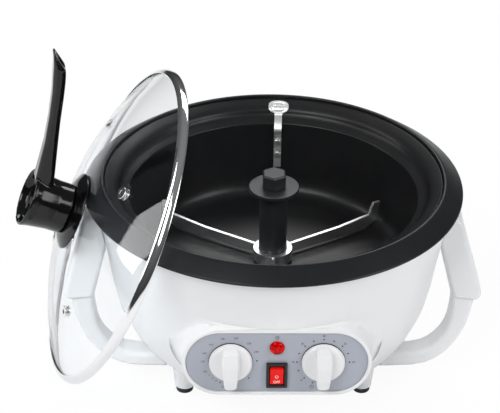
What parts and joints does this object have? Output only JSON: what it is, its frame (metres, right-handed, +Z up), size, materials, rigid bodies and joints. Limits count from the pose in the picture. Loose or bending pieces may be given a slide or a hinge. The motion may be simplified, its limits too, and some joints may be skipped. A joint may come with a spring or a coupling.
{
  "type": "coffee bean roaster",
  "caption": "Countertop bean roaster: round white bowl on rubber feet, stirred black pan, control pod with knobs, lamp and rocker, leaning-forward handles and a loose glass lid.",
  "frame": {"origin": "middle of the bounding box, on the surface that the feet and the leaning lid stand on", "axes": "+Z up, front with the control panel toward -Y, +X to the right seen from the front"},
  "size_m": [0.359, 0.29, 0.2667],
  "materials": {
    "white_plastic": "glossy white, moulded",
    "knob_plastic": "glossy white",
    "panel_grey": "satin blue-grey film",
    "rubber": "matt black",
    "collar_black": "satin black",
    "pan_coating": "satin black non-stick coating",
    "hub_black": "satin black",
    "pan_steel": "polished",
    "lid_black": "glossy black",
    "lid_glass": "clear tempered glass",
    "lid_band": "polished rolled band",
    "lid_metal": "polished",
    "lamp_red": "translucent red",
    "rocker_red": "translucent red",
    "switch_black": "glossy black",
    "inner_zinc": "plain metal"
  },
  "bodies": {
    "body": {"housing_shell": "white_plastic", "base_plate": "inner_zinc", "base_screw_1": "inner_zinc", "base_screw_2": "inner_zinc", "base_screw_3": "inner_zinc", "base_screw_4": "inner_zinc", "foot_1": "rubber", "foot_2": "rubber", "foot_3": "rubber", "foot_4": "rubber", "collar_ring": "collar_black", "pan": "pan_coating", "heat_shield": "inner_zinc", "heating_element": "inner_zinc", "gear_motor": "inner_zinc", "motor_bracket": "inner_zinc", "shaft_bush": "pan_steel", "bean_deflector": "pan_steel", "deflector_rivet_1": "pan_steel", "deflector_rivet_2": "pan_steel", "handle_right": "white_plastic", "grip_right": "white_plastic", "handle_left": "white_plastic", "grip_left": "white_plastic", "cord_gland": "rubber", "control_panel": "panel_grey", "thermostat_body": "inner_zinc", "timer_body": "inner_zinc", "lamp_lens": "lamp_red", "lamp_holder": "switch_black", "switch_body": "switch_black"},
    "stirrer": {"drive_shaft": "pan_steel", "stirrer_hub": "hub_black", "stirrer_blade": "pan_steel", "stirrer_nut": "hub_black"},
    "thermostat_dial": {"thermostat_shaft": "inner_zinc", "thermostat_knob": "knob_plastic"},
    "timer_dial": {"timer_shaft": "inner_zinc", "timer_knob": "knob_plastic"},
    "rocker": {"switch_rocker": "rocker_red"},
    "lid": {"lid_glass": "lid_glass", "lid_rim": "lid_band", "lid_flange": "lid_black", "lid_handle": "lid_black", "lid_washer": "lid_metal", "lid_screw": "lid_metal", "lid_vent_1": "lid_metal", "lid_vent_2": "lid_metal", "lid_vent_3": "lid_metal", "lid_vent_4": "lid_metal"}
  },
  "joints": [
    {"name": "stirrer_spin", "type": "hinge", "parent": "body", "child": "stirrer", "pos_m": [0.01841, 0, 0.1], "axis": [0, 0, 1], "continuous": true},
    {"name": "thermostat_turn", "type": "hinge", "parent": "body", "child": "thermostat_dial", "pos_m": [-0.01549, -0.13098, 0.0698], "axis": [0, 0.9986, -0.0523], "range_deg": [0, 270]},
    {"name": "timer_turn", "type": "hinge", "parent": "body", "child": "timer_dial", "pos_m": [0.05231, -0.13098, 0.0698], "axis": [0, 0.9986, -0.0523], "range_deg": [0, 270]},
    {"name": "switch_rock", "type": "hinge", "parent": "body", "child": "rocker", "pos_m": [0.01841, -0.12993, 0.05913], "axis": [-1, 0, 0], "range_deg": [0, 16]},
    {"name": "lid_lift", "type": "slide", "parent": "body", "child": "lid", "axis": [0, 0, 1], "range_m": [0, 0.2]}
  ]
}
